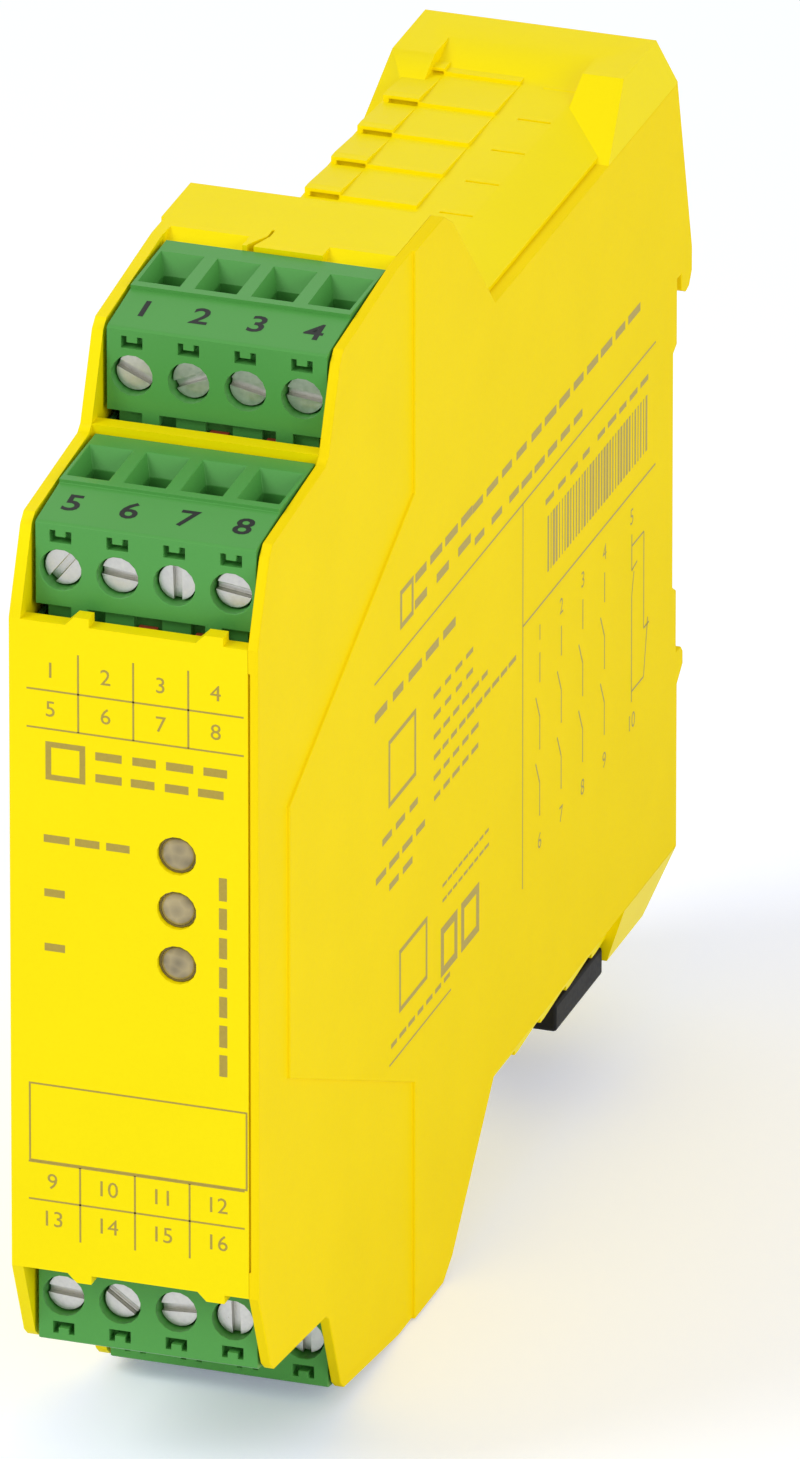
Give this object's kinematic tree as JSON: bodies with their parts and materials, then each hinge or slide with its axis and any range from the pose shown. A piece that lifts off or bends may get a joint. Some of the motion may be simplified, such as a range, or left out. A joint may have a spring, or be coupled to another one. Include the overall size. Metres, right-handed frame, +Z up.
{
  "type": "safety relay",
  "caption": "Narrow yellow safety relay for a top-hat rail, with stepped pluggable screw terminals, a bare label face with status lamps and a sprung rail catch.",
  "frame": {"origin": "centre of the 35 mm rail seat, midway between the side faces", "axes": "+X right, +Y back into the panel, +Z up, so the label face looks along -Y"},
  "size_m": [0.0226, 0.1145, 0.099],
  "materials": {
    "housing": "satin",
    "cover": "satin",
    "catch": "satin",
    "spring_steel": "satin",
    "plug": "satin",
    "header": "satin",
    "screw": "satin",
    "cage": "satin",
    "contact": "satin",
    "pins": "satin",
    "board": "satin",
    "relay": "satin",
    "can": "satin",
    "chip": "satin",
    "lens": "gloss",
    "peg": "satin"
  },
  "bodies": {
    "relay_unit": {"housing_shell": "housing", "side_cover": "cover", "catch_spring": "spring_steel", "main_board": "board", "upper_terminal_board": "board", "lower_terminal_board": "board", "board_link_pins": "pins", "relay_k1": "relay", "relay_k2": "relay", "capacitors": "can", "logic_chips": "chip", "status_leds": "lens", "coding_pegs": "peg", "header_pins_front": "pins", "header_pins_rear": "pins", "header_upper_front": "header", "header_upper_rear": "header", "header_lower_front": "header", "header_lower_rear": "header"},
    "catch": {"rail_catch": "catch"},
    "plug_upper_front": {"plug_upper_front": "plug", "contacts_upper_front": "contact"},
    "screw_upper_front_1": {"screw_upper_front_1": "screw"},
    "cage_upper_front_1": {"cage_upper_front_1": "cage"},
    "screw_upper_front_2": {"screw_upper_front_2": "screw"},
    "cage_upper_front_2": {"cage_upper_front_2": "cage"},
    "screw_upper_front_3": {"screw_upper_front_3": "screw"},
    "cage_upper_front_3": {"cage_upper_front_3": "cage"},
    "screw_upper_front_4": {"screw_upper_front_4": "screw"},
    "cage_upper_front_4": {"cage_upper_front_4": "cage"},
    "plug_upper_rear": {"plug_upper_rear": "plug", "contacts_upper_rear": "contact"},
    "screw_upper_rear_1": {"screw_upper_rear_1": "screw"},
    "cage_upper_rear_1": {"cage_upper_rear_1": "cage"},
    "screw_upper_rear_2": {"screw_upper_rear_2": "screw"},
    "cage_upper_rear_2": {"cage_upper_rear_2": "cage"},
    "screw_upper_rear_3": {"screw_upper_rear_3": "screw"},
    "cage_upper_rear_3": {"cage_upper_rear_3": "cage"},
    "screw_upper_rear_4": {"screw_upper_rear_4": "screw"},
    "cage_upper_rear_4": {"cage_upper_rear_4": "cage"},
    "plug_lower_front": {"plug_lower_front": "plug", "contacts_lower_front": "contact"},
    "screw_lower_front_1": {"screw_lower_front_1": "screw"},
    "cage_lower_front_1": {"cage_lower_front_1": "cage"},
    "screw_lower_front_2": {"screw_lower_front_2": "screw"},
    "cage_lower_front_2": {"cage_lower_front_2": "cage"},
    "screw_lower_front_3": {"screw_lower_front_3": "screw"},
    "cage_lower_front_3": {"cage_lower_front_3": "cage"},
    "screw_lower_front_4": {"screw_lower_front_4": "screw"},
    "cage_lower_front_4": {"cage_lower_front_4": "cage"},
    "plug_lower_rear": {"plug_lower_rear": "plug", "contacts_lower_rear": "contact"},
    "screw_lower_rear_1": {"screw_lower_rear_1": "screw"},
    "cage_lower_rear_1": {"cage_lower_rear_1": "cage"},
    "screw_lower_rear_2": {"screw_lower_rear_2": "screw"},
    "cage_lower_rear_2": {"cage_lower_rear_2": "cage"},
    "screw_lower_rear_3": {"screw_lower_rear_3": "screw"},
    "cage_lower_rear_3": {"cage_lower_rear_3": "cage"},
    "screw_lower_rear_4": {"screw_lower_rear_4": "screw"},
    "cage_lower_rear_4": {"cage_lower_rear_4": "cage"}
  },
  "joints": [
    {"name": "catch_slide", "type": "slide", "parent": "relay_unit", "child": "catch", "axis": [0, 0, -1], "range_m": [0, 0.004], "stiffness_N_per_m": 1200, "springref_m": -0.001, "deforming": ["catch_spring"]},
    {"name": "plug_upper_front_slide", "type": "slide", "parent": "relay_unit", "child": "plug_upper_front", "axis": [0, 0, 1], "range_m": [0, 0.01]},
    {"name": "screw_upper_front_1_turn", "type": "hinge", "parent": "plug_upper_front", "child": "screw_upper_front_1", "pos_m": [-0.00735, -0.1067, 0.0334], "axis": [0, 1, 0], "range_deg": [0, 1765]},
    {"name": "cage_upper_front_1_lift", "type": "slide", "parent": "plug_upper_front", "child": "cage_upper_front_1", "axis": [0, -1, 0], "range_m": [0, 0.0022]},
    {"name": "screw_upper_front_2_turn", "type": "hinge", "parent": "plug_upper_front", "child": "screw_upper_front_2", "pos_m": [-0.00235, -0.1067, 0.0334], "axis": [0, 1, 0], "range_deg": [0, 1765]},
    {"name": "cage_upper_front_2_lift", "type": "slide", "parent": "plug_upper_front", "child": "cage_upper_front_2", "axis": [0, -1, 0], "range_m": [0, 0.0022]},
    {"name": "screw_upper_front_3_turn", "type": "hinge", "parent": "plug_upper_front", "child": "screw_upper_front_3", "pos_m": [0.00265, -0.1067, 0.0334], "axis": [0, 1, 0], "range_deg": [0, 1765]},
    {"name": "cage_upper_front_3_lift", "type": "slide", "parent": "plug_upper_front", "child": "cage_upper_front_3", "axis": [0, -1, 0], "range_m": [0, 0.0022]},
    {"name": "screw_upper_front_4_turn", "type": "hinge", "parent": "plug_upper_front", "child": "screw_upper_front_4", "pos_m": [0.00765, -0.1067, 0.0334], "axis": [0, 1, 0], "range_deg": [0, 1765]},
    {"name": "cage_upper_front_4_lift", "type": "slide", "parent": "plug_upper_front", "child": "cage_upper_front_4", "axis": [0, -1, 0], "range_m": [0, 0.0022]},
    {"name": "plug_upper_rear_slide", "type": "slide", "parent": "relay_unit", "child": "plug_upper_rear", "axis": [0, 0, 1], "range_m": [0, 0.01]},
    {"name": "screw_upper_rear_1_turn", "type": "hinge", "parent": "plug_upper_rear", "child": "screw_upper_rear_1", "pos_m": [-0.00735, -0.0884, 0.0434], "axis": [0, 1, 0], "range_deg": [0, 1765]},
    {"name": "cage_upper_rear_1_lift", "type": "slide", "parent": "plug_upper_rear", "child": "cage_upper_rear_1", "axis": [0, -1, 0], "range_m": [0, 0.0022]},
    {"name": "screw_upper_rear_2_turn", "type": "hinge", "parent": "plug_upper_rear", "child": "screw_upper_rear_2", "pos_m": [-0.00235, -0.0884, 0.0434], "axis": [0, 1, 0], "range_deg": [0, 1765]},
    {"name": "cage_upper_rear_2_lift", "type": "slide", "parent": "plug_upper_rear", "child": "cage_upper_rear_2", "axis": [0, -1, 0], "range_m": [0, 0.0022]},
    {"name": "screw_upper_rear_3_turn", "type": "hinge", "parent": "plug_upper_rear", "child": "screw_upper_rear_3", "pos_m": [0.00265, -0.0884, 0.0434], "axis": [0, 1, 0], "range_deg": [0, 1765]},
    {"name": "cage_upper_rear_3_lift", "type": "slide", "parent": "plug_upper_rear", "child": "cage_upper_rear_3", "axis": [0, -1, 0], "range_m": [0, 0.0022]},
    {"name": "screw_upper_rear_4_turn", "type": "hinge", "parent": "plug_upper_rear", "child": "screw_upper_rear_4", "pos_m": [0.00765, -0.0884, 0.0434], "axis": [0, 1, 0], "range_deg": [0, 1765]},
    {"name": "cage_upper_rear_4_lift", "type": "slide", "parent": "plug_upper_rear", "child": "cage_upper_rear_4", "axis": [0, -1, 0], "range_m": [0, 0.0022]},
    {"name": "plug_lower_front_slide", "type": "slide", "parent": "relay_unit", "child": "plug_lower_front", "axis": [0, 0, -1], "range_m": [0, 0.01]},
    {"name": "screw_lower_front_1_turn", "type": "hinge", "parent": "plug_lower_front", "child": "screw_lower_front_1", "pos_m": [0.00765, -0.1067, -0.0334], "axis": [0, 1, 0], "range_deg": [0, 1765]},
    {"name": "cage_lower_front_1_lift", "type": "slide", "parent": "plug_lower_front", "child": "cage_lower_front_1", "axis": [0, -1, 0], "range_m": [0, 0.0022]},
    {"name": "screw_lower_front_2_turn", "type": "hinge", "parent": "plug_lower_front", "child": "screw_lower_front_2", "pos_m": [0.00265, -0.1067, -0.0334], "axis": [0, 1, 0], "range_deg": [0, 1765]},
    {"name": "cage_lower_front_2_lift", "type": "slide", "parent": "plug_lower_front", "child": "cage_lower_front_2", "axis": [0, -1, 0], "range_m": [0, 0.0022]},
    {"name": "screw_lower_front_3_turn", "type": "hinge", "parent": "plug_lower_front", "child": "screw_lower_front_3", "pos_m": [-0.00235, -0.1067, -0.0334], "axis": [0, 1, 0], "range_deg": [0, 1765]},
    {"name": "cage_lower_front_3_lift", "type": "slide", "parent": "plug_lower_front", "child": "cage_lower_front_3", "axis": [0, -1, 0], "range_m": [0, 0.0022]},
    {"name": "screw_lower_front_4_turn", "type": "hinge", "parent": "plug_lower_front", "child": "screw_lower_front_4", "pos_m": [-0.00735, -0.1067, -0.0334], "axis": [0, 1, 0], "range_deg": [0, 1765]},
    {"name": "cage_lower_front_4_lift", "type": "slide", "parent": "plug_lower_front", "child": "cage_lower_front_4", "axis": [0, -1, 0], "range_m": [0, 0.0022]},
    {"name": "plug_lower_rear_slide", "type": "slide", "parent": "relay_unit", "child": "plug_lower_rear", "axis": [0, 0, -1], "range_m": [0, 0.01]},
    {"name": "screw_lower_rear_1_turn", "type": "hinge", "parent": "plug_lower_rear", "child": "screw_lower_rear_1", "pos_m": [0.00765, -0.0884, -0.0434], "axis": [0, 1, 0], "range_deg": [0, 1765]},
    {"name": "cage_lower_rear_1_lift", "type": "slide", "parent": "plug_lower_rear", "child": "cage_lower_rear_1", "axis": [0, -1, 0], "range_m": [0, 0.0022]},
    {"name": "screw_lower_rear_2_turn", "type": "hinge", "parent": "plug_lower_rear", "child": "screw_lower_rear_2", "pos_m": [0.00265, -0.0884, -0.0434], "axis": [0, 1, 0], "range_deg": [0, 1765]},
    {"name": "cage_lower_rear_2_lift", "type": "slide", "parent": "plug_lower_rear", "child": "cage_lower_rear_2", "axis": [0, -1, 0], "range_m": [0, 0.0022]},
    {"name": "screw_lower_rear_3_turn", "type": "hinge", "parent": "plug_lower_rear", "child": "screw_lower_rear_3", "pos_m": [-0.00235, -0.0884, -0.0434], "axis": [0, 1, 0], "range_deg": [0, 1765]},
    {"name": "cage_lower_rear_3_lift", "type": "slide", "parent": "plug_lower_rear", "child": "cage_lower_rear_3", "axis": [0, -1, 0], "range_m": [0, 0.0022]},
    {"name": "screw_lower_rear_4_turn", "type": "hinge", "parent": "plug_lower_rear", "child": "screw_lower_rear_4", "pos_m": [-0.00735, -0.0884, -0.0434], "axis": [0, 1, 0], "range_deg": [0, 1765]},
    {"name": "cage_lower_rear_4_lift", "type": "slide", "parent": "plug_lower_rear", "child": "cage_lower_rear_4", "axis": [0, -1, 0], "range_m": [0, 0.0022]}
  ],
  "couplings": [
    {"joint": "screw_upper_front_1_turn", "follows": "cage_upper_front_1_lift", "rad_per_m": 13963},
    {"joint": "screw_upper_front_2_turn", "follows": "cage_upper_front_2_lift", "rad_per_m": 13963},
    {"joint": "screw_upper_front_3_turn", "follows": "cage_upper_front_3_lift", "rad_per_m": 13963},
    {"joint": "screw_upper_front_4_turn", "follows": "cage_upper_front_4_lift", "rad_per_m": 13963},
    {"joint": "screw_upper_rear_1_turn", "follows": "cage_upper_rear_1_lift", "rad_per_m": 13963},
    {"joint": "screw_upper_rear_2_turn", "follows": "cage_upper_rear_2_lift", "rad_per_m": 13963},
    {"joint": "screw_upper_rear_3_turn", "follows": "cage_upper_rear_3_lift", "rad_per_m": 13963},
    {"joint": "screw_upper_rear_4_turn", "follows": "cage_upper_rear_4_lift", "rad_per_m": 13963},
    {"joint": "screw_lower_front_1_turn", "follows": "cage_lower_front_1_lift", "rad_per_m": 13963},
    {"joint": "screw_lower_front_2_turn", "follows": "cage_lower_front_2_lift", "rad_per_m": 13963},
    {"joint": "screw_lower_front_3_turn", "follows": "cage_lower_front_3_lift", "rad_per_m": 13963},
    {"joint": "screw_lower_front_4_turn", "follows": "cage_lower_front_4_lift", "rad_per_m": 13963},
    {"joint": "screw_lower_rear_1_turn", "follows": "cage_lower_rear_1_lift", "rad_per_m": 13963},
    {"joint": "screw_lower_rear_2_turn", "follows": "cage_lower_rear_2_lift", "rad_per_m": 13963},
    {"joint": "screw_lower_rear_3_turn", "follows": "cage_lower_rear_3_lift", "rad_per_m": 13963},
    {"joint": "screw_lower_rear_4_turn", "follows": "cage_lower_rear_4_lift", "rad_per_m": 13963}
  ]
}
